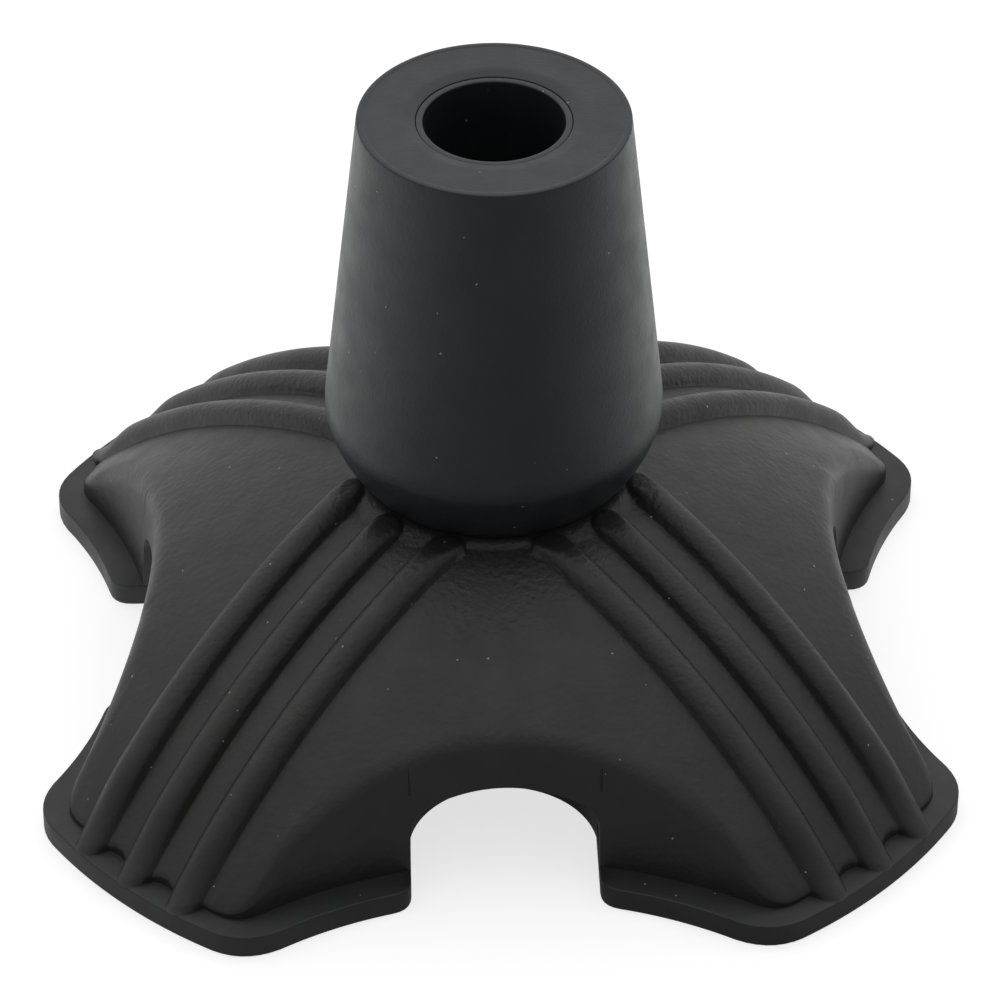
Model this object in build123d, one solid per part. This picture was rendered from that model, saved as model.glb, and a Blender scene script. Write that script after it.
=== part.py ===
# Four-footed rubber tip for a walking cane.  A hollow domed base stands on four
# sole pads; a short flexible neck carries a tapered stem, and the stem's lined
# socket takes a 19 mm cane shaft, which stands on a steel disc at its floor.
# Millimetres.  Origin on the floor under the stem, +Z up, feet on the diagonals.

import os
from math import sqrt

from build123d import *

# stem and neck
overall_height = 92.0
stem_top_radius = 18.4
stem_bottom_radius = 23.3
stem_bottom_z = 46.0
stem_rim_round = 0.6
neck_joint_z = 41.0
neck_joint_radius = 22.0
neck_bottom_z = 36.0
neck_bottom_radius = 19.2
neck_lower_bulge = (20.75, 38.4)
neck_upper_bulge = (22.85, 43.4)

# socket
shaft_radius = 9.5
liner_wall = 1.0
liner_recess = 0.5
disc_radius = 12.5
disc_thickness = 2.0
disc_bottom_z = 50.0

# dome: its profile is one arc of this radius about (centre_r, centre_z)
dome_radius = 106.7
dome_centre_r = -8.4
dome_centre_z = -67.6
collar_radius = 20.5
dome_start_r = 22.2
dome_overrun = 5.0
shell_wall = 4.0
hub_ceiling_z = 29.0

# plan of the skirt: a toe circle about the axis and four hollow sides
side_centre = 111.0
toe_radius = 70.2
skirt_side_radius = 61.9
skirt_side_radius_at_brow = 64.5
skirt_corner_round = 3.0
brow_round = 3.5

# sole pads
pad_thickness = 3.5
foot_reach = 73.4
pad_side_radius = 57.9
pad_inner_radius = 38.0
pad_outer_round = 8.0
pad_front_round = 2.5
pad_inner_round = 3.0

# ribs, three side by side on each leg
rib_radius = 2.4
rib_spacing = 8.9
rib_sink = 0.4
rib_head_u = 22.0
rib_mid_u = 46.0
rib_toe_u = 71.4
rib_overrun_u = 74.0

# notches, one in the middle of each side of the skirt
notch_half_width = 12.8
notch_side_z = 10.0
notch_shoulder_x = 9.4
notch_shoulder_z = 14.1
notch_crown_z = 16.0
notch_corner_in = 1.1
notch_corner_up = 2.9
notch_shoulder_growth = (0.7, 0.85)
notch_low_z = -5.0
notch_end_centre = 42.8
notch_wall = 3.5
notch_wall_bottom_z = 0.5

leg_angles = {"front_left": 225, "front_right": 315, "back_left": 135, "back_right": 45}
side_angles = (0, 90, 180, 270)
reach = 90.0            # longer than the part, for tools that cut right through it
on_floor = (Align.CENTER, Align.CENTER, Align.MIN)


def dome_height(r, offset=0.0):
    """Height of the dome surface, or of one parallel to it, at radius r."""
    return dome_centre_z + sqrt((dome_radius + offset) ** 2 - (r - dome_centre_r) ** 2)


def revolved(outline):
    return revolve(Plane.XZ * make_face(outline), Axis.Z)


def dome_body(offset, top_z):
    """Solid under the dome profile, out to beyond the toes."""
    middle_r = (dome_start_r + toe_radius) / 2
    end_r = toe_radius + dome_overrun
    start = (dome_start_r, dome_height(dome_start_r, offset))
    end = (end_r, dome_height(end_r, offset))
    outline = Line((0, -dome_overrun), (0, top_z))
    outline += Line((0, top_z), (collar_radius, top_z))
    outline += Line((collar_radius, top_z), start)
    outline += ThreePointArc(start, (middle_r, dome_height(middle_r, offset)), end)
    outline += Line(end, (end_r, -dome_overrun))
    outline += Line((end_r, -dome_overrun), (0, -dome_overrun))
    return revolved(outline)


def skirt_plan(inset, corner_round):
    """Upright body of the skirt: the toe circle less four slightly tapered sides."""
    height = stem_bottom_z
    body = Cylinder(toe_radius - inset, height, align=on_floor)
    for angle in side_angles:
        side = Cone(skirt_side_radius + inset, skirt_side_radius_at_brow + inset, height, align=on_floor)
        body -= Rot(0, 0, angle) * Pos(side_centre, 0, 0) * side
    corners = [e for e in body.edges() if e.bounding_box().size.Z > height - 1]
    return fillet(corners, corner_round) if corner_round else body


def notch_tool(wall):
    """Arch-fronted notch with a round inner end, grown outwards by a wall."""
    half = notch_half_width + wall
    foot = (half, notch_low_z)
    side_top = (half, notch_side_z)
    corner = (half - notch_corner_in, notch_side_z + notch_corner_up)
    shoulder_x = notch_shoulder_x + wall * notch_shoulder_growth[0]
    shoulder = (shoulder_x, notch_shoulder_z + wall * notch_shoulder_growth[1])
    crown = (0, notch_crown_z + wall)
    arch = Line(foot, side_top) + ThreePointArc(side_top, corner, shoulder)
    arch += ThreePointArc(shoulder, crown, mirrored(shoulder))
    arch += ThreePointArc(mirrored(shoulder), mirrored(corner), mirrored(side_top))
    arch += Line(mirrored(side_top), mirrored(foot))
    arch += Line(mirrored(foot), foot)
    run = extrude(Plane.XZ * make_face(arch), reach)
    plan = Pos(0, -(notch_end_centre + reach / 2)) * Rectangle(2 * half, reach)
    plan += Pos(0, -notch_end_centre) * Circle(half)
    return run & Pos(0, 0, notch_low_z) * extrude(plan, reach)


def mirrored(point):
    return (-point[0], point[1])


def around(tool):
    return [Rot(0, 0, angle) * tool for angle in side_angles]


def rib(across):
    """Half-round rib along a leg, at a distance across from the leg's diagonal."""
    points = []
    for u in (rib_head_u, rib_mid_u, rib_overrun_u):
        points.append((u, across, dome_height(sqrt(u * u + across * across)) - rib_sink))
    path = ThreePointArc(*points)
    section = Plane(origin=path @ 0, z_dir=path % 0) * Circle(rib_radius)
    bead = sweep(section, path=path) + Pos(*points[0]) * Sphere(rib_radius)
    room = Box(rib_toe_u, 4 * rib_radius, neck_bottom_z - pad_thickness, align=on_floor)
    return bead & Pos(rib_toe_u / 2, across, pad_thickness) * room


def pad_plan():
    """Outline of the sole pad between the +X and +Y notches."""
    quarter = Pos(reach / 2 + notch_half_width, reach / 2 + notch_half_width) * Rectangle(reach, reach)
    plan = Circle(foot_reach) & quarter
    plan -= Circle(pad_inner_radius)
    plan -= Pos(side_centre, 0) * Circle(pad_side_radius)
    plan -= Pos(0, side_centre) * Circle(pad_side_radius)
    by_reach = sorted(plan.vertices(), key=lambda v: v.X ** 2 + v.Y ** 2)
    outer = by_reach[-2:]
    front = by_reach[2:4]
    inner = by_reach[:2]
    plan = fillet(outer, pad_outer_round)
    plan = fillet(nearest(plan, front), pad_front_round)
    return fillet(nearest(plan, inner), pad_inner_round)


def nearest(shape, old_vertices):
    return [min(shape.vertices(), key=lambda v: (v.center() - old.center()).length) for old in old_vertices]


def base_shell():
    floor = Pos(0, 0, pad_thickness) * Box(4 * reach, 4 * reach, reach, align=on_floor)
    outer = dome_body(0, neck_bottom_z)
    outer &= skirt_plan(0, skirt_corner_round)
    outer = fillet(brow_edges(outer), brow_round)
    for angle in leg_angles.values():
        for across in (-rib_spacing, 0, rib_spacing):
            outer += Rot(0, 0, angle) * rib(across)
    cavity = dome_body(-shell_wall, hub_ceiling_z)
    cavity &= skirt_plan(shell_wall, 0)
    for wall in around(notch_tool(notch_wall)):
        cavity -= wall
    shell = (outer & floor) - cavity
    shell += notch_feet()
    for notch in around(notch_tool(0)):
        shell -= notch
    return shell


def brow_edges(body):
    """The line where the dome meets the skirt, right round the base."""
    long_edges = [e for e in body.edges() if e.length > side_centre - foot_reach]
    curves = [e for e in long_edges if e.geom_type != GeomType.CIRCLE]
    return [e for e in curves if pad_thickness < e.center().Z < hub_ceiling_z]


def notch_feet():
    """The inner ends of the notch walls, which reach down between the pads."""
    ring = Circle(pad_inner_radius)
    depth = pad_thickness - notch_wall_bottom_z
    feet = []
    for angle in side_angles:
        end = Pos(0, -notch_end_centre) * Circle(notch_half_width + notch_wall)
        end -= Pos(0, -notch_end_centre) * Circle(notch_half_width)
        end &= ring
        feet.append(Rot(0, 0, angle) * Pos(0, 0, notch_wall_bottom_z) * extrude(end, depth))
    return feet


def neck_lower():
    joint = (neck_joint_radius, neck_joint_z)
    bottom = (neck_bottom_radius, neck_bottom_z)
    outline = Line((0, neck_bottom_z), bottom) + ThreePointArc(bottom, neck_lower_bulge, joint)
    outline += Line(joint, (0, neck_joint_z)) + Line((0, neck_joint_z), (0, neck_bottom_z))
    return revolved(outline)


def neck_upper():
    joint = (neck_joint_radius, neck_joint_z)
    top = (stem_bottom_radius, stem_bottom_z)
    outline = Line((0, neck_joint_z), joint) + ThreePointArc(joint, neck_upper_bulge, top)
    outline += Line(top, (0, stem_bottom_z)) + Line((0, stem_bottom_z), (0, neck_joint_z))
    return revolved(outline)


def stem_cone():
    taper = Cone(stem_bottom_radius, stem_top_radius, overall_height - stem_bottom_z, align=on_floor)
    rim = taper.edges().filter_by(GeomType.CIRCLE).sort_by(Axis.Z)[-1]
    body = Pos(0, 0, stem_bottom_z) * fillet(rim, stem_rim_round)
    body -= Pos(0, 0, disc_bottom_z) * Cylinder(shaft_radius + liner_wall, reach, align=on_floor)
    return body - socket_disc()


def socket_liner():
    height = overall_height - liner_recess - disc_bottom_z - disc_thickness
    sleeve = Cylinder(shaft_radius + liner_wall, height, align=on_floor)
    sleeve -= Cylinder(shaft_radius, height, align=on_floor)
    return Pos(0, 0, disc_bottom_z + disc_thickness) * sleeve


def socket_disc():
    return Pos(0, 0, disc_bottom_z) * Cylinder(disc_radius, disc_thickness, align=on_floor)


def save(name, shape):
    shape.label = name
    export_step(shape, f"parts/{name}.step")


os.makedirs("parts", exist_ok=True)
save("base_shell", base_shell())
pad = extrude(pad_plan(), pad_thickness)
for place, angle in leg_angles.items():
    save(f"pad_{place}", Rot(0, 0, angle - 45) * pad)
save("neck_lower", neck_lower())
save("neck_upper", neck_upper())
save("stem_cone", stem_cone())
save("socket_liner", socket_liner())
save("socket_disc", socket_disc())
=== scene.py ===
from math import atan2, cos, hypot, pi, radians, sin, sqrt

import bmesh
import bpy
from mathutils import Matrix, Vector


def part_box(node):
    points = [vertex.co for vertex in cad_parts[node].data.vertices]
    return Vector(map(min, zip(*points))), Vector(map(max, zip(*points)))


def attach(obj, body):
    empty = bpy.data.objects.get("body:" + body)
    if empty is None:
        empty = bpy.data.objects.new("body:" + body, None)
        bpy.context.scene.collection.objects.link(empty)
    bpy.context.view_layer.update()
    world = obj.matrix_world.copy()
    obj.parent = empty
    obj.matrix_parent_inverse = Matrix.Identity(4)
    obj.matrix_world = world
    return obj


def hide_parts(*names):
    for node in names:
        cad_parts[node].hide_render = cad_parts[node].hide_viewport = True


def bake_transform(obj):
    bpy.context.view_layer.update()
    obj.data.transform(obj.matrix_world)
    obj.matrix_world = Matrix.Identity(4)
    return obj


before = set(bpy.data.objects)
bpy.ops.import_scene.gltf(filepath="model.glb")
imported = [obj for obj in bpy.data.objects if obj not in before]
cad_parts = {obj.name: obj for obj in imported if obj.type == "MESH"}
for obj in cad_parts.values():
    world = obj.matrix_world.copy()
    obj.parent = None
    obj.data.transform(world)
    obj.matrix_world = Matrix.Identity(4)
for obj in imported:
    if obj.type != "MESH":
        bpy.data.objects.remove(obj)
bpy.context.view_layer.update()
mm = 0.001
weldGap = 0.004                                            # points nearer than this become one point
creaseAngle = 40                                           # edges sharper than this many degrees stay crisp

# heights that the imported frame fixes, in millimetres like every length below
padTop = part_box("pad_front_left")[1].z / mm
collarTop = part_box("neck_lower")[0].z / mm
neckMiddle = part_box("neck_lower")[1].z / mm
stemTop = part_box("stem_cone")[1].z / mm
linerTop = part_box("socket_liner")[1].z / mm
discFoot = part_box("socket_disc")[0].z / mm
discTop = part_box("socket_disc")[1].z / mm
legAngles = {"front_left": 225, "front_right": 315, "back_left": 135, "back_right": 45}


def blendMax(a, b, width):
    reach = max(0.0, 1.0 - abs(a - b) / width)
    return max(a, b) + width / 4 * reach * reach


def blendMin(a, b, width):
    return -blendMax(-a, -b, width)


def between(a, b, share):
    return a + (b - a) * share


def smoothStep(value, low, high):
    share = min(1.0, max(0.0, (value - low) / (high - low)))
    return share * share * (3 - 2 * share)


def bezier(start, corner, end, share):
    return start * (1 - share) ** 2 + corner * (2 * share * (1 - share)) + end * share ** 2


def steps(start, end, count):  # count + 1 even stations, both ends included
    return [between(start, end, i / count) for i in range(count + 1)]


def vertsOf(geom):
    return [g for g in geom if isinstance(g, bmesh.types.BMVert)]


def turn(bm, verts, degrees):  # about the stem's axis
    bmesh.ops.rotate(bm, verts=verts, cent=(0, 0, 0), matrix=Matrix.Rotation(radians(degrees), 3, "Z"))


def repeatRound(bm, angles):
    one = bm.verts[:] + bm.edges[:] + bm.faces[:]
    for angle in angles:
        copy = bmesh.ops.duplicate(bm, geom=one)["geom"]
        turn(bm, vertsOf(copy), angle)


def sharpen(bm, degrees):
    for edge in bm.edges:
        if len(edge.link_faces) == 2 and edge.calc_face_angle() > radians(degrees):
            edge.smooth = False


def finishMesh(bm, name, body, slot, material, *nodes):
    bmesh.ops.scale(bm, vec=(mm, mm, mm), verts=bm.verts)
    mesh = bpy.data.meshes.new(name)
    bm.to_mesh(mesh)
    bm.free()
    mesh.polygons.foreach_set("use_smooth", [True] * len(mesh.polygons))
    mesh.materials.append(material)
    piece = bpy.data.objects.new(name, mesh)
    bpy.context.scene.collection.objects.link(piece)
    if body:
        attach(piece, body)
    if nodes:
        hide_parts(*nodes)
    print("made", name, len(mesh.polygons), "faces")
    return piece


dome = {
    "radius": 106.7, "centreR": -8.4, "centreZ": -67.6,     # one arc makes the dome's profile
    "wall": 4.0, "ceiling": 29.0, "ceilingShare": 0.9, "hub": 20.5,
    "collarEdge": 18.9, "collarRound": 0.9,                # the collar's edge above the plain webs
    "pocketEdge": 18.2, "pocketRound": 3.4, "pocketSide": 2.0,   # and between ribs, where it slopes away
    "collarSoft": 1.1, "collarProud": 0.05, "collarLevel": 0.5,
    "radialEnd": 22.5,                                     # rows are round up to here, then run down the leg
    "hubRows": (17, 18, 18.5, 18.9, 19.1, 19.3, 19.5, 19.7, 19.9, 20.1, 20.3, 20.6, 20.9, 21.3, 21.7, 22.1),
    "nearRows": (0, 0.5, 1.1, 1.8, 2.6), "farStart": 3.6, "farRows": 36,
}
ribs = {
    "spacing": 8.9, "radius": 2.4, "sink": 0.15, "soft": 0.4, "fieldW": 13.6, "headR": 21.7,
    "flank": 2.0,                                          # the section's slope outside its half circle
    "maskFoot": 1.0,                                       # wrinkles stay this far above the sole
    "fallStart": 63.5, "fallEnd": 70.2, "fall": 0.42,      # the crests sink towards the toe
    "toeRun": 2.3, "scoop": 0.6, "scoopEdge": 0.4,         # rib ends run out, the valleys between stay back
    "columns": (0, 0.35, 0.7, 1.05, 1.4, 1.7, 1.95, 2.15, 2.35, 2.55, 2.8, 3.2, 3.8),
}
ribCrest = ribs["radius"] - ribs["sink"]
skirt = {
    "toe": 70.2, "centre": 111.0, "radius": 61.9, "draft": 0.0565, "sideEnd": 36.0,
    "corner": 3.2, "brow": 2.6, "toeBrow": 0.45, "browShare": 0.45, "leastLean": 0.42, "leastRise": 0.4,
    "flare": 0.02, "toeFlare": 0.1, "footRound": 0.9, "footFull": 3.0, "bury": 0.3, "settle": 8,
    "cornerColumns": 6, "sideColumns": 26, "browRows": 8, "wallRows": 8, "footRows": 4,
    "innerWallRows": 4, "innerDomeRows": 10,
}
arch = {
    "halfWidth": 12.8, "sideZ": 10.0, "shoulderX": 9.4, "shoulderZ": 14.1, "crownZ": 16.0,
    "browX": 14.6, "browSideX": 11.8, "browShoulderX": 9.2, "lip": 0.35, "endCentre": 42.8,
    "wallFoot": 0.5, "clear": 0.15, "sideColumns": 5, "shoulderColumns": 7, "crownColumns": 9,
}


def domeHeight(r, inset=0.0):
    return dome["centreZ"] + sqrt((dome["radius"] - inset) ** 2 - (r - dome["centreR"]) ** 2)


def ribHeight(w, r):  # three half-round ribs, each with a ball end towards the hub
    lift = 0.0
    for at in (-ribs["spacing"], 0.0, ribs["spacing"]):
        off = hypot(w - at, max(0.0, ribs["headR"] - r))
        if off < ribs["radius"]:
            crown = sqrt(ribs["radius"] ** 2 - off ** 2) - ribs["sink"]
        else:
            crown = -ribs["sink"] - ribs["flank"] * (off - ribs["radius"])
        lift = blendMax(lift, crown, ribs["soft"])
    return lift * (1 - ribs["fall"] * smoothStep(r, ribs["fallStart"], ribs["fallEnd"]))


def domePoint(u, w):  # u runs out along the leg and w across it
    r = hypot(u, w)
    outward = (r - dome["centreR"]) / dome["radius"]
    upward = sqrt(1 - outward ** 2)
    lift = ribHeight(w, r)
    z = domeHeight(r) + lift * upward
    pocket = 1 - smoothStep(abs(w), ribs["spacing"], ribs["spacing"] + dome["pocketSide"])
    edge = between(dome["collarEdge"], dome["pocketEdge"], pocket)
    edgeRound = between(dome["collarRound"], dome["pocketRound"], pocket)
    fall = collarTop - max(0.0, r - edge) ** 2 / (2 * edgeRound)
    z = blendMax(z, fall, dome["collarSoft"])
    z = blendMin(z, collarTop + dome["collarProud"], dome["collarLevel"])
    push = 1 + lift * outward / r
    return Vector((u * push, w * push, z))


def sidePoint(x, z, inset=0.0):  # x runs along the side, from its middle towards the leg
    radius = skirt["radius"] + skirt["draft"] * z + inset
    along = skirt["centre"] - sqrt(radius ** 2 - x ** 2)
    return Vector((along + x, along - x)) * sqrt(0.5)


def toePoint(w, inset=0.0):
    return Vector((sqrt((skirt["toe"] - inset) ** 2 - w ** 2), w))


def skirtCorner(z, inset=0.0):  # where the toe circle crosses the side: (across the leg, along the side)
    toe, radius = skirt["toe"] - inset, skirt["radius"] + skirt["draft"] * z + inset
    along = (toe ** 2 + skirt["centre"] ** 2 - radius ** 2) / (2 * skirt["centre"])
    across = sqrt(toe ** 2 - along ** 2)
    return (along - across) * sqrt(0.5), across


def skirtPoint(station, fall, z, inset=0.0):  # fall is 0 at the brow and 1 at the foot
    zone, share = station["zone"], station["share"]
    if zone == "toe":
        return toePoint(share, inset)
    cornerW, cornerX = skirtCorner(z, inset)
    toeEnd, sideStart = toePoint(cornerW - skirt["corner"], inset), cornerX - skirt["corner"]
    if zone == "corner":
        return bezier(toeEnd, toePoint(cornerW, inset), sidePoint(sideStart, z, inset), share)
    if zone == "side":
        sideEnd = between(arch["browX"], arch["halfWidth"], fall)
        return sidePoint(between(sideStart, sideEnd, share), z, inset)
    return sidePoint(between(station["browX"], station["footX"], fall), z, inset)


def legStations():  # where the columns stand, from the leg's middle round to the middle of a side
    found = []
    pitch, near = ribs["spacing"], ribs["columns"]
    field = [*near, *[pitch - w for w in reversed(near)][:-1], *[pitch + w for w in near]]
    for w in field:
        found.append({"zone": "toe", "share": w})
    for share in steps(0, 1, skirt["cornerColumns"]):
        found.append({"zone": "corner", "share": share})
    for share in steps(0, 1, skirt["sideColumns"])[1:]:
        found.append({"zone": "side", "share": share})

    half, sideZ = arch["halfWidth"], arch["sideZ"]
    shoulder = Vector((arch["shoulderX"], arch["shoulderZ"]))
    for z in steps(padTop, sideZ, arch["sideColumns"])[1:]:
        browX = between(arch["browX"], arch["browSideX"], (z - padTop) / (sideZ - padTop))
        found.append({"zone": "arch", "browX": browX, "footX": half, "footZ": z})
    rise = arch["crownZ"] - shoulder.y
    bend = Vector((half, shoulder.y - 2 * rise / shoulder.x * (half - shoulder.x)))
    for share in steps(0, 1, arch["shoulderColumns"])[1:]:
        at = bezier(Vector((half, sideZ)), bend, shoulder, share)
        browX = between(arch["browSideX"], arch["browShoulderX"], share)
        found.append({"zone": "arch", "browX": browX, "footX": at.x, "footZ": at.y})
    for share in steps(0, 1, arch["crownColumns"])[1:]:
        x = shoulder.x * (1 - share)
        z = arch["crownZ"] - rise * (x / shoulder.x) ** 2
        browX = between(arch["browShoulderX"], 0, share)
        found.append({"zone": "arch", "browX": browX, "footX": x, "footZ": z})
    for station in found:
        station.setdefault("share", 0)
        station.setdefault("footZ", padTop)
    return found


def browCorner(station, inset=0.0):  # where a column's dome line would meet the upright skirt
    z = arch["sideZ"]
    for attempt in range(skirt["settle"]):  # the plan and the height depend on each other a little
        plan = skirtPoint(station, 0, z, inset)
        z = max(domeHeight(plan.length, inset), padTop + skirt["leastRise"])
    return plan, z


def toeShares(w):  # how much of a rib, and how much of a valley between ribs, the toe has here
    ribShare = min(1.0, ribHeight(w, ribs["headR"]) / ribCrest)
    if abs(w) > ribs["spacing"]:
        return ribShare, 0.0
    offRib = min(abs(w), abs(abs(w) - ribs["spacing"]))
    return ribShare, smoothStep(offRib, ribs["radius"] - ribs["scoopEdge"], ribs["spacing"] / 2)


def domeRun(station, base, z):  # a column's points from under the stem down to the brow's upper end
    ray = Vector((cos(station["startAngle"]), sin(station["startAngle"])))
    start = ray * dome["radialEnd"]
    run = base - start
    lean = 1.0
    if station["zone"] in ("side", "corner"):
        reach = min(skirt["sideEnd"], station["reach"])
        ahead = sidePoint(min(skirt["sideEnd"], station["reach"] + 0.5), z) - sidePoint(reach, z)
        lean = max(skirt["leastLean"], abs(ahead.normalized().cross(run.normalized())))
    back = (skirt["toeBrow"] if station["zone"] == "toe" else skirt["brow"]) / lean
    top = base - run.normalized() * back
    points = [domePoint(*(ray * r)) for r in dome["hubRows"]]
    span = top - start
    for along in [*dome["nearRows"], *steps(dome["farStart"], span.length, dome["farRows"])]:
        points.append(domePoint(*(start + span.normalized() * along)))
    return points


def outerColumn(station):
    plan, z = browCorner(station)
    base = plan
    corner = Vector((plan.x, plan.y, z))
    zone, footZ = station["zone"], station["footZ"]
    if zone == "toe":
        ribShare, valley = toeShares(station["share"])
        base = toePoint(station["share"], ribs["scoop"] * valley)
        corner = domePoint(base.x, base.y)
        plan, z = corner.xy, corner.z

    def skirtAt(atZ):
        fall = (z - atZ) / (z - footZ)
        if zone == "toe":
            at = plan + Vector((ribs["toeRun"] * ribShare * fall, 0))
        else:
            at = skirtPoint(station, fall, atZ)
        return Vector((at.x, at.y, atZ))

    points = domeRun(station, base, z)
    upper = points[-1]
    lowZ = z - min(skirt["brow"], skirt["browShare"] * (z - footZ))
    for share in steps(0, 1, skirt["browRows"])[1:]:
        points.append(bezier(upper, corner, skirtAt(lowZ), share))
    endZ = footZ + skirt["footRound"] * min(1.0, (z - footZ) / skirt["footFull"])
    if zone == "arch":
        endZ = footZ + arch["lip"]
    for share in steps(0, 1, skirt["wallRows"])[1:]:
        points.append(skirtAt(between(lowZ, endZ, share)))
    foot = skirtAt(footZ)
    if zone == "arch":
        spread = skirtPoint(station, 1, footZ, arch["lip"])
    elif zone == "toe":
        spread = foot.xy + Vector((skirt["toeFlare"], 0))
    else:
        spread = foot.xy + (foot.xy - skirtPoint(station, 1, footZ, 1.0)).normalized() * skirt["flare"]
    last = points[-1]
    for share in steps(0, 1, skirt["footRows"])[1:]:
        points.append(bezier(last, foot, Vector((spread.x, spread.y, footZ)), share))
    return points


def innerColumn(station):  # the wall's inner face, back up from the foot to the ceiling
    wall = dome["wall"]
    plan, z = browCorner(station, wall)
    footZ = station["footZ"]
    points = []
    if station["zone"] != "arch":
        footZ -= skirt["bury"]
    for share in steps(0, 1, skirt["innerWallRows"]):
        atZ = between(footZ, z, share)
        at = skirtPoint(station, 1 - share, atZ, wall)
        points.append(Vector((at.x, at.y, atZ)))
    end = Vector((cos(station["startAngle"]), sin(station["startAngle"]))) * dome["hub"]
    for share in steps(0, 1, skirt["innerDomeRows"])[1:]:
        at = plan.lerp(end, share)
        atZ = max(padTop + skirt["leastRise"], domeHeight(at.length, wall))
        points.append(Vector((at.x, at.y, atZ)))
    end = end * dome["ceilingShare"]
    points.append(Vector((end.x, end.y, dome["ceiling"])))
    return points


def hubAngle(w):  # the direction in which a column that stands w off the leg's middle leaves the hub
    return atan2(w, sqrt(dome["radialEnd"] ** 2 - w ** 2))


def makeShell(material):
    stations = legStations()
    fan = [s for s in stations if s["zone"] != "toe"]
    for order, station in enumerate(fan):
        station["startAngle"] = between(hubAngle(ribs["fieldW"]), pi / 4, (order + 1) / len(fan))
    cornerX = skirtCorner(arch["sideZ"])[1]
    for station in stations:
        station["reach"] = cornerX
        if station["zone"] == "side":
            station["reach"] = between(cornerX - skirt["corner"], arch["browX"], station["share"])
        if station["zone"] == "toe":
            station["startAngle"] = hubAngle(station["share"])
    outer = [outerColumn(s) for s in stations]
    columns = [points + innerColumn(s) for points, s in zip(outer, stations)]
    rows = len(columns[0])
    print("columns", len(columns), "rows", rows)
    bm = bmesh.new()
    ribMask = bm.verts.layers.float.new("ribMask")
    bmesh.ops.create_grid(bm, x_segments=len(columns) - 1, y_segments=rows - 1, size=1)
    for vert in bm.verts:
        column = round((vert.co.x + 1) / 2 * (len(columns) - 1))
        row = round((vert.co.y + 1) / 2 * (rows - 1))
        vert.co = columns[column][row]
        if vert.co.z > padTop + ribs["maskFoot"] and row < len(outer[0]) - skirt["footRows"]:
            vert[ribMask] = min(1.0, ribHeight(vert.co.y, vert.co.xy.length) / ribCrest)
    half = bm.verts[:] + bm.edges[:] + bm.faces[:]
    other = bmesh.ops.duplicate(bm, geom=half)["geom"]
    bmesh.ops.scale(bm, vec=(1, -1, 1), verts=vertsOf(other))
    repeatRound(bm, (90, 180, 270))
    turn(bm, bm.verts, 45)
    bmesh.ops.remove_doubles(bm, verts=bm.verts, dist=weldGap)
    bmesh.ops.holes_fill(bm, edges=[e for e in bm.edges if e.is_boundary], sides=0)
    bmesh.ops.recalc_face_normals(bm, faces=bm.faces)
    sharpen(bm, creaseAngle)
    return finishMesh(bm, "baseShell", "base", "base_rubber", material, "base_shell")


notchWall = {"front": 46.4, "thickness": 3.3, "columns": 72, "rows": 16, "shoulderGrowth": (0.7, 0.85)}


def archTop(x, grow):  # the arch's outline above x, grown outwards
    half = arch["halfWidth"] + grow
    shoulderX = arch["shoulderX"] + grow * notchWall["shoulderGrowth"][0]
    shoulderZ = arch["shoulderZ"] + grow * notchWall["shoulderGrowth"][1]
    rise = arch["crownZ"] + grow - shoulderZ
    x = min(abs(x), half)
    if x <= shoulderX:
        return shoulderZ + rise - rise * (x / shoulderX) ** 2
    bend = shoulderZ - 2 * rise / shoulderX * (half - shoulderX)
    return bezier(arch["sideZ"], bend, shoulderZ, sqrt((half - x) / (half - shoulderX)))


def notchSurface(bm, grow):
    half = arch["halfWidth"] + grow
    endY = -arch["endCentre"]
    straight = notchWall["front"] - arch["endCentre"]
    columns, rows = notchWall["columns"], notchWall["rows"]
    wall = bmesh.ops.create_grid(bm, x_segments=columns, y_segments=rows, size=1)["verts"]
    for vert in wall:  # the upright wall runs in from the skirt, round the end and out again
        share = (vert.co.x + 1) / 2 * columns
        if share < 1:
            x, y = half, between(endY - straight, endY, share)
        elif share > columns - 1:
            x, y = -half, between(endY - straight, endY, columns - share)
        else:
            angle = (share - 1) / (columns - 2) * pi
            x, y = half * cos(angle), endY + half * sin(angle)
        vert.co = x, y, between(arch["wallFoot"], archTop(x, grow), (vert.co.y + 1) / 2)
    roof = bmesh.ops.create_grid(bm, x_segments=columns - 2, y_segments=1, size=1)["verts"]
    for vert in roof:
        angle = (vert.co.x + 1) / 2 * pi
        x, back = half * cos(angle), endY + half * sin(angle)
        vert.co = x, between(endY - straight, back, (vert.co.y + 1) / 2), archTop(x, grow)
    return wall + roof


def makeNotchWalls(material):
    bm = bmesh.new()
    notchSurface(bm, arch["clear"])
    notchSurface(bm, arch["clear"] + notchWall["thickness"])
    bmesh.ops.remove_doubles(bm, verts=bm.verts, dist=weldGap)
    bmesh.ops.bridge_loops(bm, edges=[e for e in bm.edges if e.is_boundary])
    repeatRound(bm, (90, 180, 270))
    bmesh.ops.recalc_face_normals(bm, faces=bm.faces)
    sharpen(bm, creaseAngle)
    return finishMesh(bm, "notchWalls", "base", "base_rubber", material)


stem = {
    "widest": 23.35, "widestZ": 46.5, "bulbDrop": 4.4, "bulbPower": 1.9, "soft": 1.6,
    "topRadius": 18.4, "rim": 0.32, "rimBand": 0.7, "rimStart": 1.9, "sideEnd": 2.0,
    "dish": 0.09, "dishStep": 0.25, "dishSoft": 0.1,       # the top is a little hollow inside its rim
    "mouth": 10.52, "mouthBand": 1.6, "mouthBandSoft": 0.5, "mouthFall": 0.34, "mouthSoft": 0.15,
    "boreRadius": 9.5, "discRadius": 12.5,
    "turns": 192, "neckRows": 24, "coneRows": 48, "weldGap": 0.001, "creaseAngle": 50,
    "bendTop": 49.4, "blendGap": 0.2,                      # the upper neck, which flexes on the real object, runs up to here, under the disc
}


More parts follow.
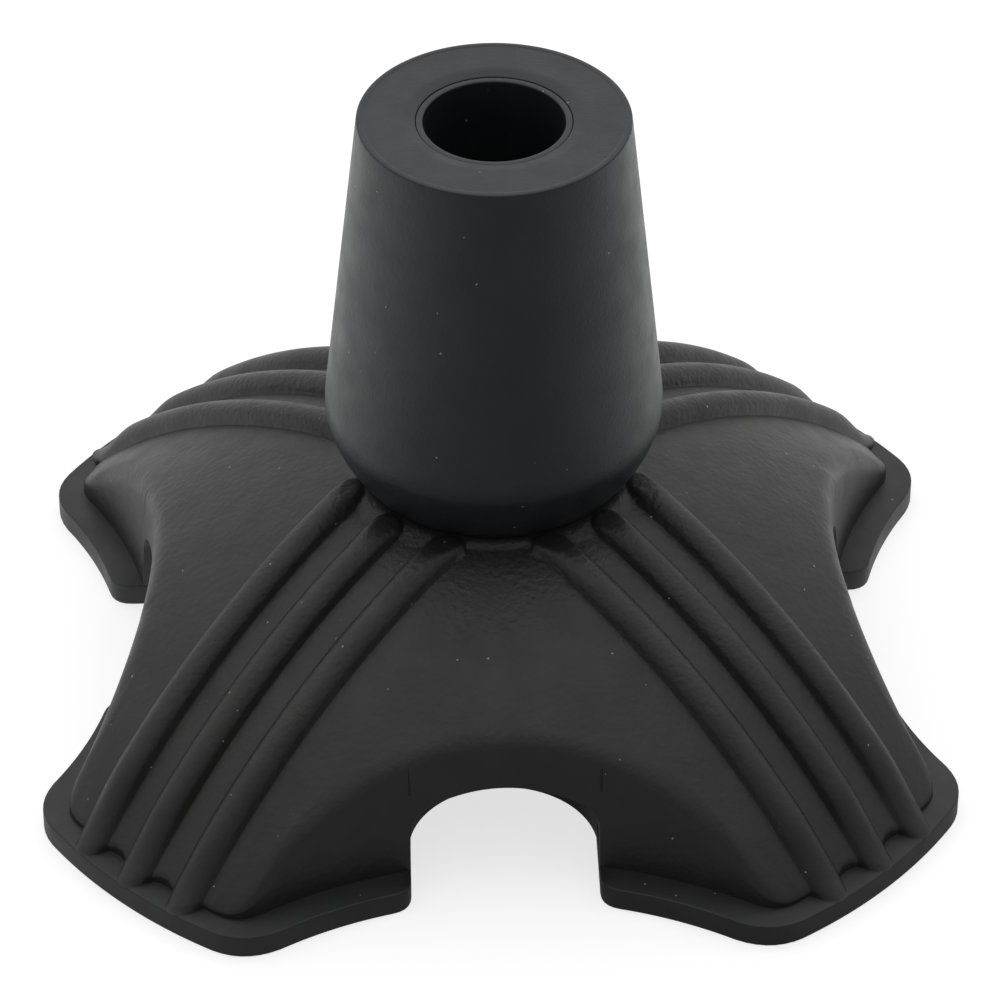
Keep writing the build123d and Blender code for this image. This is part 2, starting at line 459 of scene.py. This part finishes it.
def stemRadius(z):
    depth = stem["widestZ"] - collarTop
    low, high = stem["widestZ"] - stem["soft"], stem["widestZ"] + stem["soft"]

    def bulb(at):
        return stem["widest"] - stem["bulbDrop"] * ((stem["widestZ"] - at) / depth) ** stem["bulbPower"]

    def cone(at):
        share = (at - stem["widestZ"]) / (stemTop - stem["widestZ"])
        return between(stem["widest"], stem["topRadius"], share)

    if z <= low:
        return bulb(z)
    if z >= high:
        return cone(z)
    return bezier(bulb(low), stem["widest"], cone(high), (z - low) / (high - low))


def spinProfile(points, closed=False):
    bm = bmesh.new()
    verts = [bm.verts.new((r, 0, z)) for r, z in points]
    edges = [bm.edges.new(pair) for pair in zip(verts, verts[1:])]
    if closed:
        edges.append(bm.edges.new((verts[-1], verts[0])))
    bmesh.ops.spin(bm, geom=verts + edges, cent=(0, 0, 0), axis=(0, 0, 1), angle=2 * pi,
                   steps=stem["turns"], use_merge=True)
    bmesh.ops.remove_doubles(bm, verts=bm.verts, dist=stem["weldGap"])
    bmesh.ops.recalc_face_normals(bm, faces=bm.faces)
    sharpen(bm, stem["creaseAngle"])
    return bm


def rounded(corners, segments=5):  # each corner is a radius, a height and how far its rounding reaches
    points = []
    for index, (r, z, cut) in enumerate(corners):
        here = Vector((r, z))
        if not cut:
            points.append((r, z))
            continue
        before = Vector(corners[index - 1][:2])
        after = Vector(corners[(index + 1) % len(corners)][:2])
        start = here + (before - here).normalized() * cut
        end = here + (after - here).normalized() * cut
        for share in steps(0, 1, segments):
            points.append(tuple(bezier(start, here, end, share)))
    return points


def neckProfile(low, high):
    return [(0, low)] + [(stemRadius(z), z) for z in steps(low, high, stem["neckRows"])] + [(0, high)]


def makeNeck(lowerMaterial, upperMaterial):
    low = spinProfile(neckProfile(collarTop, neckMiddle))
    lower = finishMesh(low, "neckLower", None, "neck_rubber", lowerMaterial, "neck_lower")
    high = spinProfile(neckProfile(neckMiddle, stem["bendTop"]))
    upper = finishMesh(high, "neckUpper", None, "neck_rubber", upperMaterial, "neck_upper")
    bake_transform(lower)
    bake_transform(upper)


def makeStem(material):
    foot, rimZ, dish = stem["bendTop"], stemTop - stem["rimStart"], stemTop - stem["dish"]
    bandR, mouthR = stem["topRadius"] - stem["rimBand"], stem["mouth"]
    side = [(stemRadius(z), z) for z in steps(foot, stemTop - stem["sideEnd"], stem["coneRows"])]
    top = rounded([  # the first corner only gives the rim its direction
        (stemRadius(rimZ), rimZ, 0),
        (stem["topRadius"], stemTop, stem["rim"]),
        (bandR, stemTop, stem["dishSoft"]),
        (bandR - stem["dishStep"], dish, stem["dishSoft"]),
        (mouthR + stem["mouthBand"], dish, stem["mouthBandSoft"]),
        (mouthR, dish - stem["mouthFall"], stem["mouthSoft"]),
        (mouthR, discTop, 0),
    ])
    inside = [(stem["discRadius"], discTop), (stem["discRadius"], discFoot), (0, discFoot)]
    outline = [(0, foot)] + side + top[1:] + inside
    return finishMesh(spinProfile(outline), "stemCone", "stem", "stem_rubber", material, "stem_cone")


liner = {"clear": 0.03, "lift": 0.02, "outerEdge": 0.2, "boreEdge": 0.3}


def makeLiner(material):
    bore, outer, foot = stem["boreRadius"], stem["mouth"] - liner["clear"], discTop + liner["lift"]
    loop = rounded([
        (bore, foot, 0),
        (outer, foot, 0),
        (outer, linerTop, liner["outerEdge"]),
        (bore, linerTop, liner["boreEdge"]),
    ])
    ring = spinProfile(loop, closed=True)
    return finishMesh(ring, "socketLiner", "stem", "liner", material, "socket_liner")


disc = {"clear": 0.03, "lift": 0.02, "drop": 0.01, "edge": 0.3}


def makeDisc(material):
    r, low, high = stem["discRadius"] - disc["clear"], discFoot + disc["lift"], discTop - disc["drop"]
    loop = rounded([(0, low, 0), (r, low, disc["edge"]), (r, high, disc["edge"]), (0, high, 0)])
    return finishMesh(spinProfile(loop), "socketDisc", "stem", "disc_steel", material, "socket_disc")


sole = {
    "reach": 73.4, "sideRadius": 57.9, "corner": 5.5, "frontCorner": 2.6, "inner": 38.0, "innerCorner": 3.0,
    "edge": 0.25, "edgeSegments": 4, "footEdge": 0.3, "footSegments": 3, "flat": 0.01,
    "rimWidth": 2.4, "grooveDepth": 1.3, "groove": 1.5, "bar": 2.7,
    "toeColumns": 12, "cornerColumns": 8, "sideColumns": 16, "smallColumns": 5, "arcColumns": 10,
}


def soleOutline():  # half of it runs from the toe's middle, round the side and the notch, to the inner arc
    reach, centre, half = sole["reach"], skirt["centre"], arch["halfWidth"]

    def onToe(w):
        return Vector((sqrt(reach ** 2 - w ** 2), w))

    def onSide(x):
        along = centre - sqrt(sole["sideRadius"] ** 2 - x ** 2)
        return Vector((along + x, along - x)) * sqrt(0.5)

    def onNotch(along):
        return Vector((along + half, along - half)) * sqrt(0.5)

    cornerAlong = (reach ** 2 + centre ** 2 - sole["sideRadius"] ** 2) / (2 * centre)
    cornerX = sqrt(reach ** 2 - cornerAlong ** 2)
    cornerW = (cornerAlong - cornerX) * sqrt(0.5)
    frontAlong = centre - sqrt(sole["sideRadius"] ** 2 - half ** 2)
    innerAlong = sqrt(sole["inner"] ** 2 - half ** 2)
    points = [onToe(w) for w in steps(0, cornerW - sole["corner"], sole["toeColumns"])]
    toeEnd, sideStart = points[-1], onSide(cornerX - sole["corner"])
    cornerShares = steps(0, 1, sole["cornerColumns"])
    smallShares = steps(0, 1, sole["smallColumns"])
    points += [bezier(toeEnd, onToe(cornerW), sideStart, share) for share in cornerShares[1:]]
    frontX = half + sole["frontCorner"]
    points += [onSide(x) for x in steps(cornerX - sole["corner"], frontX, sole["sideColumns"])[1:]]
    front, notchStart = onNotch(frontAlong), onNotch(frontAlong - sole["frontCorner"])
    points += [bezier(onSide(frontX), front, notchStart, share) for share in smallShares[1:]]
    notchEnd = onNotch(innerAlong + sole["innerCorner"])
    innerAngle = atan2(*reversed(onNotch(innerAlong)))
    arcStart = innerAngle * (1 - sole["innerCorner"] / (sole["inner"] * innerAngle))
    onArc = [Vector((cos(a), sin(a))) * sole["inner"] for a in steps(arcStart, 0, sole["arcColumns"])]
    points += [bezier(notchEnd, onNotch(innerAlong), onArc[0], share) for share in smallShares]
    points += onArc[1:]
    return points + [Vector((p.x, -p.y)) for p in reversed(points[1:-1])]


def cutTread(bm, under):  # cross grooves, sunk into the sole inside its rim
    pitch = sole["bar"] + sole["groove"]
    field = [under]
    cuts = []
    at = sole["inner"]
    while at < sole["reach"]:
        cuts += [at, at + sole["bar"]]
        at += pitch
    for cut in cuts:
        geom = set(field)
        for face in field:
            geom.update(face.edges)
            geom.update(face.verts)
        made = bmesh.ops.bisect_plane(bm, geom=list(geom), plane_co=(cut, 0, 0), plane_no=(1, 0, 0))
        field = [g for g in made["geom"] if isinstance(g, bmesh.types.BMFace)]
    grooves = [f for f in field if (f.calc_center_median().x - sole["inner"]) % pitch > sole["bar"]]
    sunk = bmesh.ops.extrude_face_region(bm, geom=grooves)["geom"]
    bmesh.ops.delete(bm, geom=grooves, context="FACES_ONLY")
    bmesh.ops.translate(bm, vec=(0, 0, sole["grooveDepth"]), verts=vertsOf(sunk))


def makeSole(name, angle, material):
    flat = sole["flat"]
    bm = bmesh.new()
    bottom = bm.faces.new([bm.verts.new((p.x, p.y, 0)) for p in soleOutline()])
    lifted = bmesh.ops.extrude_face_region(bm, geom=[bottom], use_keep_orig=True)["geom"]
    bmesh.ops.translate(bm, vec=(0, 0, padTop), verts=vertsOf(lifted))
    bmesh.ops.recalc_face_normals(bm, faces=bm.faces)
    topEdges = [e for e in bm.edges if all(v.co.z > padTop - flat for v in e.verts)]
    bmesh.ops.bevel(bm, geom=topEdges, offset=sole["edge"], segments=sole["edgeSegments"],
                    profile=0.5, affect="EDGES", material=-1)
    footEdges = [e for e in bm.edges if all(v.co.z < flat for v in e.verts)]
    bmesh.ops.bevel(bm, geom=footEdges, offset=sole["footEdge"], segments=sole["footSegments"],
                    profile=0.5, affect="EDGES", material=-1)
    lowFaces = [f for f in bm.faces if f.calc_center_median().z < flat]
    under = max(lowFaces, key=lambda f: f.calc_area())
    bmesh.ops.inset_region(bm, faces=[under], thickness=sole["rimWidth"], use_even_offset=True)
    cutTread(bm, under)
    turn(bm, bm.verts, angle)
    sharpen(bm, creaseAngle)
    return finishMesh(bm, "solePad_" + name, "base", "sole_rubber", material, "pad_" + name)


seam = {"across": 12.85, "width": 0.2, "depth": 0.25, "low": 16.3, "high": 20.6}
finish = {
    "base": {"colour": (0.0135, 0.0145, 0.0130),
             "roughness": 0.44, "grain": 0.25, "stipple": 0.6, "ribs": 0.32},
    "stem": {"colour": (0.0110, 0.0145, 0.0165),
             "roughness": 0.40, "grain": 0.55, "stipple": 0.10, "ribs": 0.0},
    "neck": {"colour": (0.0100, 0.0120, 0.0145),
             "roughness": 0.42, "grain": 0.40, "stipple": 0.10, "ribs": 0.0},
    "sole": {"colour": (0.0135, 0.0150, 0.0140),
             "roughness": 0.5, "grain": 0.30, "stipple": 0.15, "ribs": 0.0},
    "liner": {"colour": (0.0120, 0.0150, 0.0165),
             "roughness": 0.36, "grain": 0.10, "stipple": 0.05, "ribs": 0.0},
}
dust = {
    "cell": 0.0037, "size": 0.00014, "smallest": 0.2, "largest": 1.6, "mottle": 4000.0,
    "colour": (0.26, 0.255, 0.23, 1),
}
grain = {                                                  # noise scales, and lengths in metres
    "cloud": 85.0, "cloudStops": (0.3, 0.72), "cloudTones": (0.8, 1.25),
    "sheen": 240.0, "glossier": 0.05, "duller": 0.06, "middle": (0.3, 0.7),
    "fine": 2600.0, "fineDepth": 0.00006,
    "peel": 1050.0, "peelDepth": 0.00026, "peelFrom": 0.065, "peelTo": 0.022, "peelLeast": 0.4,
    "scrape": 1500.0, "scrapeDepth": 0.0003, "onRib": (0.1, 0.5),
    "behindHead": (0.024, 0.029), "beforeToe": (0.066, 0.045),
    "lineStrength": 0.8,
}


def node(tree, kind, **inputs):
    made = tree.nodes.new(kind)
    for key, value in inputs.items():
        made.inputs[key.replace("_", " ")].default_value = value
    return made


def mathNode(tree, operation, first, second):
    made = tree.nodes.new("ShaderNodeMath")
    made.operation = operation
    for socket, value in zip(made.inputs, (first, second)):
        if isinstance(value, (int, float)):
            socket.default_value = value
        else:
            tree.links.new(value, socket)
    return made.outputs[0]


def ramp(tree, source, low, high, start=0.0, end=1.0):
    made = tree.nodes.new("ShaderNodeMapRange")
    for name, value in (("From Min", low), ("From Max", high), ("To Min", start), ("To Max", end)):
        made.inputs[name].default_value = value
    tree.links.new(source, made.inputs["Value"])
    return made.outputs["Result"]


def noiseField(tree, place, scale, detail):
    made = node(tree, "ShaderNodeTexNoise", Scale=scale, Detail=detail)
    tree.links.new(place, made.inputs["Vector"])
    return made.outputs["Fac"]


def bump(tree, height, strength, distance, under=None):
    made = node(tree, "ShaderNodeBump", Strength=strength, Distance=distance)
    tree.links.new(height, made.inputs["Height"])
    if under:
        tree.links.new(under, made.inputs["Normal"])
    return made.outputs["Normal"]


def vectorMath(tree, operation, place, aim=None):
    made = tree.nodes.new("ShaderNodeVectorMath")
    made.operation = operation
    tree.links.new(place, made.inputs[0])
    if aim is not None:
        made.inputs[1].default_value = aim
    return made


def rubberFinish(name, look):
    material = bpy.data.materials.new(name)
    material.use_nodes = True
    tree = material.node_tree
    link = tree.links.new
    shader = tree.nodes["Principled BSDF"]
    shader.inputs["IOR"].default_value = 1.5
    place = tree.nodes.new("ShaderNodeTexCoord").outputs["Object"]
    parts = tree.nodes.new("ShaderNodeSeparateXYZ")
    link(place, parts.inputs["Vector"])

    # cloudy bloom in the rubber, and specks of dust
    cloud = noiseField(tree, place, grain["cloud"], 4.0)
    tint = tree.nodes.new("ShaderNodeValToRGB")
    for stop, at, share in zip(tint.color_ramp.elements, grain["cloudStops"], grain["cloudTones"]):
        stop.position = at
        stop.color = (*[c * share for c in look["colour"]], 1)
    link(cloud, tint.inputs["Fac"])
    cells = node(tree, "ShaderNodeTexVoronoi", Scale=1 / dust["cell"])
    link(place, cells.inputs["Vector"])
    mottle = noiseField(tree, place, dust["mottle"], 1.0)
    smallest = dust["smallest"] * dust["size"] / dust["cell"]
    largest = dust["largest"] * dust["size"] / dust["cell"]
    size = ramp(tree, mottle, *grain["middle"], smallest, largest)
    speck = mathNode(tree, "LESS_THAN", cells.outputs["Distance"], size)
    coat = tree.nodes.new("ShaderNodeMix")
    coat.data_type = "RGBA"
    link(speck, coat.inputs["Factor"])
    link(tint.outputs["Color"], coat.inputs["A"])
    coat.inputs["B"].default_value = dust["colour"]
    link(coat.outputs["Result"], shader.inputs["Base Color"])
    sheen = noiseField(tree, place, grain["sheen"], 5.0)
    glossy, dull = look["roughness"] - grain["glossier"], look["roughness"] + grain["duller"]
    link(ramp(tree, sheen, *grain["middle"], glossy, dull), shader.inputs["Roughness"])

    # moulded grain, and a coarser stipple that grows towards the hub
    fine = noiseField(tree, place, grain["fine"], 3.0)
    normal = bump(tree, fine, look["grain"], grain["fineDepth"])
    flat = node(tree, "ShaderNodeMapping", Scale=(1, 1, 0))
    link(place, flat.inputs["Vector"])
    radius = vectorMath(tree, "LENGTH", flat.outputs["Vector"]).outputs["Value"]
    nearHub = ramp(tree, radius, grain["peelFrom"], grain["peelTo"], grain["peelLeast"], 1.0)
    peel = mathNode(tree, "MULTIPLY", noiseField(tree, place, grain["peel"], 4.0), nearHub)
    normal = bump(tree, peel, look["stipple"], grain["peelDepth"], normal)
    if look["ribs"]:
        # scraped wrinkles on the ribs, and the mould's parting lines beside each arch
        mask = tree.nodes.new("ShaderNodeAttribute")
        mask.attribute_name = "ribMask"
        scrape = noiseField(tree, place, grain["scrape"], 3.0)
        behindHead = ramp(tree, radius, *grain["behindHead"])
        beforeToe = ramp(tree, radius, *grain["beforeToe"])
        stretch = mathNode(tree, "MULTIPLY", behindHead, beforeToe)
        onRibs = mathNode(tree, "MULTIPLY", ramp(tree, mask.outputs["Fac"], *grain["onRib"]), stretch)
        wrinkles = mathNode(tree, "MULTIPLY", scrape, onRibs)
        normal = bump(tree, wrinkles, look["ribs"], grain["scrapeDepth"], normal)
        acrossX = mathNode(tree, "ABSOLUTE", parts.outputs["X"], 0)
        acrossY = mathNode(tree, "ABSOLUTE", parts.outputs["Y"], 0)
        lateral = mathNode(tree, "MINIMUM", acrossX, acrossY)
        offLine = mathNode(tree, "ABSOLUTE", mathNode(tree, "SUBTRACT", lateral, seam["across"] * mm), 0)
        line = ramp(tree, offLine, 0, seam["width"] * mm)
        below = mathNode(tree, "GREATER_THAN", seam["low"] * mm, parts.outputs["Z"])
        above = mathNode(tree, "GREATER_THAN", parts.outputs["Z"], seam["high"] * mm)
        line = mathNode(tree, "MAXIMUM", line, mathNode(tree, "MAXIMUM", below, above))
        normal = bump(tree, line, grain["lineStrength"], seam["depth"] * mm, normal)
    link(normal, shader.inputs["Normal"])
    print("finish", name)
    return material


steel = {"colour": (0.5, 0.5, 0.48, 1), "scuff": 700.0, "roughness": (0.25, 0.5)}


def steelFinish():
    material = bpy.data.materials.new("discSteel")
    material.use_nodes = True
    tree = material.node_tree
    shader = tree.nodes["Principled BSDF"]
    shader.inputs["Metallic"].default_value = 1.0
    shader.inputs["Base Color"].default_value = steel["colour"]
    place = tree.nodes.new("ShaderNodeTexCoord").outputs["Object"]
    scuff = noiseField(tree, place, steel["scuff"], 4.0)
    tree.links.new(ramp(tree, scuff, 0.0, 1.0, *steel["roughness"]), shader.inputs["Roughness"])
    print("finish discSteel")
    return material


studio = {
    "aim": (0.876, -0.03, 27.81), "camera": (-19.86, -600.9, 492.8), "lens": 195.43, "roll": 0.125,
    "floor": 6.0, "floorGlow": 0.72, "floorPaper": 0.45,
    "bounceSides": 1.0, "bounceFront": 0.32, "bounceSpread": 0.8, "bounceGlow": 0.38,
    "skyAim": (-0.05, 0.55, 0.83),                         # the brightest part of the light tent
    "skyTones": ((0.0, 0.14), (0.4, 0.25), (0.55, 0.42), (0.7, 0.64),
                 (0.82, 0.85), (0.865, 0.85), (0.91, 1.03), (1.0, 1.07)),
    "floorAim": (-0.2, 1.0, 0.0), "floorFrom": -1.0, "floorTo": 0.2,
}


def makeCamera():
    data = bpy.data.cameras.new("camera")
    camera = bpy.data.objects.new("camera", data)
    bpy.context.scene.collection.objects.link(camera)
    bpy.context.scene.camera = camera
    data.sensor_width = 36.0
    data.lens = studio["lens"]
    data.clip_start = 0.05
    data.clip_end = 20.0
    eye = Vector(studio["camera"]) * mm
    look = Vector(studio["aim"]) * mm - eye
    aimed = look.to_track_quat("-Z", "Y").to_matrix() @ Matrix.Rotation(radians(studio["roll"]), 3, "Z")
    camera.matrix_world = Matrix.Translation(eye) @ aimed.to_4x4()
    print("camera", round(look.length / mm), "mm away, lens", data.lens)


def addShaders(tree, first, second):
    made = tree.nodes.new("ShaderNodeAddShader")
    tree.links.new(first.outputs[0], made.inputs[0])
    tree.links.new(second.outputs[0], made.inputs[1])
    return made


def splitRays(tree, lighting, seen, output):  # one look for the camera, another for the light on the object
    pick = tree.nodes.new("ShaderNodeMixShader")
    tree.links.new(tree.nodes.new("ShaderNodeLightPath").outputs["Is Camera Ray"], pick.inputs["Fac"])
    tree.links.new(lighting.outputs[0], pick.inputs[1])
    tree.links.new(seen.outputs[0], pick.inputs[2])
    tree.links.new(pick.outputs[0], tree.nodes[output].inputs["Surface"])


def makeFloor():
    bm = bmesh.new()
    bmesh.ops.create_grid(bm, x_segments=1, y_segments=1, size=studio["floor"] / 2)
    mesh = bpy.data.meshes.new("studioFloor")
    bm.to_mesh(mesh)
    bm.free()
    floor = bpy.data.objects.new("studioFloor", mesh)
    bpy.context.scene.collection.objects.link(floor)
    paper = bpy.data.materials.new("paper")
    paper.use_nodes = True
    tree = paper.node_tree
    link = tree.links.new
    tree.nodes.remove(tree.nodes["Principled BSDF"])
    glow = node(tree, "ShaderNodeEmission", Strength=studio["floorGlow"])
    seen = node(tree, "ShaderNodeBsdfDiffuse", Color=(studio["floorPaper"],) * 3 + (1,))
    place = tree.nodes.new("ShaderNodeTexCoord").outputs["Object"]
    outward = vectorMath(tree, "NORMALIZE", place).outputs["Vector"]
    facing = vectorMath(tree, "DOT_PRODUCT", outward, studio["floorAim"]).outputs["Value"]
    tone = ramp(tree, facing, studio["floorFrom"], studio["floorTo"],
                studio["bounceFront"], studio["bounceSides"])
    spread = tree.nodes.new("ShaderNodeBsdfDiffuse")
    link(mathNode(tree, "MULTIPLY", tone, studio["bounceSpread"]), spread.inputs["Color"])
    fill = node(tree, "ShaderNodeEmission", Strength=studio["bounceGlow"])
    link(tone, fill.inputs["Color"])
    splitRays(tree, addShaders(tree, spread, fill), addShaders(tree, glow, seen), "Material Output")
    mesh.materials.append(paper)
    print("floor", studio["floor"], "m across")


def makeTent():  # soft light from above and behind, dim from the front
    world = bpy.data.worlds.new("lightTent")
    bpy.context.scene.world = world
    world.use_nodes = True
    tree = world.node_tree
    link = tree.links.new
    place = tree.nodes.new("ShaderNodeTexCoord").outputs["Generated"]
    facing = vectorMath(tree, "DOT_PRODUCT", place, Vector(studio["skyAim"]).normalized())
    share = ramp(tree, facing.outputs["Value"], -1.0, 1.0)
    tones = tree.nodes.new("ShaderNodeValToRGB")
    stops = tones.color_ramp.elements
    while len(stops) < len(studio["skyTones"]):
        stops.new(0.5)
    for stop, (at, tone) in zip(stops, studio["skyTones"]):
        stop.position = at
        stop.color = (tone, tone, tone, 1)
    link(share, tones.inputs["Fac"])
    lighting = tree.nodes["Background"]
    link(tones.outputs["Color"], lighting.inputs["Color"])
    seen = node(tree, "ShaderNodeBackground", Color=(1, 1, 1, 1))
    splitRays(tree, lighting, seen, "World Output")
    bpy.context.scene.view_settings.view_transform = "Standard"
    print("light tent with", len(stops), "tones")


makeCamera()
makeFloor()
makeTent()
baseRubber = rubberFinish("baseRubber", finish["base"])
stemRubber = rubberFinish("stemRubber", finish["stem"])
neckRubber = rubberFinish("neckRubber", finish["neck"])
soleRubber = rubberFinish("soleRubber", finish["sole"])
linerFinish = rubberFinish("linerPlastic", finish["liner"])
makeShell(baseRubber)
makeNotchWalls(baseRubber)
for legName, legAngle in legAngles.items():
    makeSole(legName, legAngle, soleRubber)
makeNeck(neckRubber, stemRubber)
makeStem(stemRubber)
makeLiner(linerFinish)
makeDisc(steelFinish())
